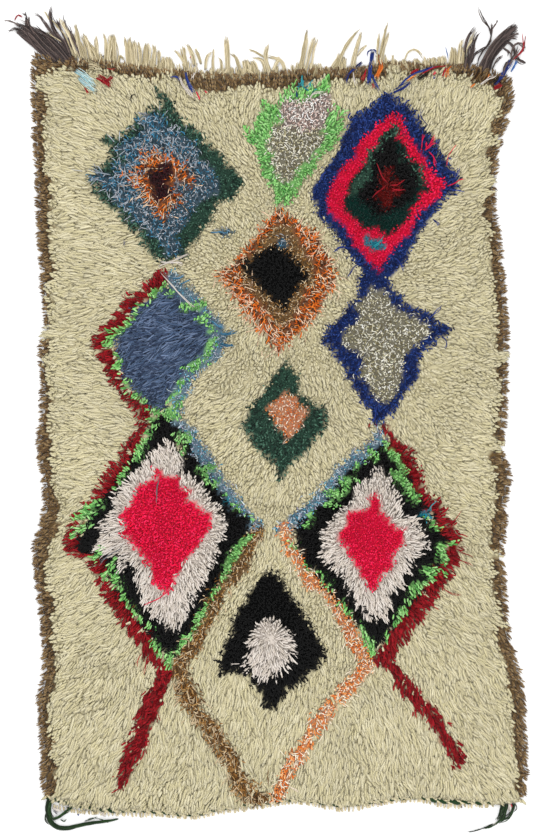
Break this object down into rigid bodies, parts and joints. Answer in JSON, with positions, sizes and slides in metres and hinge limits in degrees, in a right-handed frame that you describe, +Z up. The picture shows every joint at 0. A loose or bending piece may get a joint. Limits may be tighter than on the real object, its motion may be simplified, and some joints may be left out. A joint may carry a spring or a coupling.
{
  "type": "azilal shag rug",
  "caption": "Flat hand-knotted wool shag rug with a brown border, coloured lozenges, ivory warp fringe, dark corner tassels and a twined bottom edge.",
  "frame": {"origin": "on the floor, under the middle of the rug's whole box, fringe and tail included", "axes": "+Y along the rug towards its fringed end, +X to the right as seen from above with the fringe away, +Z up out of the pile"},
  "size_m": [1.3796, 2.1632, 0.0265],
  "materials": {
    "ivory_wool_pile": "long matt wool pile, ivory with dyed lozenges and a brown border",
    "ivory_warp": "matt twisted warp yarn",
    "dark_brown_wool": "matt dark brown wool yarn",
    "green_white_twining": "matt twined wool, dark green and ivory",
    "green_wool": "matt dark green wool"
  },
  "bodies": {
    "root": {"shag_rug": "ivory_wool_pile", "warp_fringe": "ivory_warp", "corner_tassel_left": "dark_brown_wool", "corner_tassel_right": "dark_brown_wool", "edge_twining": "green_white_twining", "green_cord": "green_wool", "green_tail": "green_wool"}
  },
  "joints": []
}
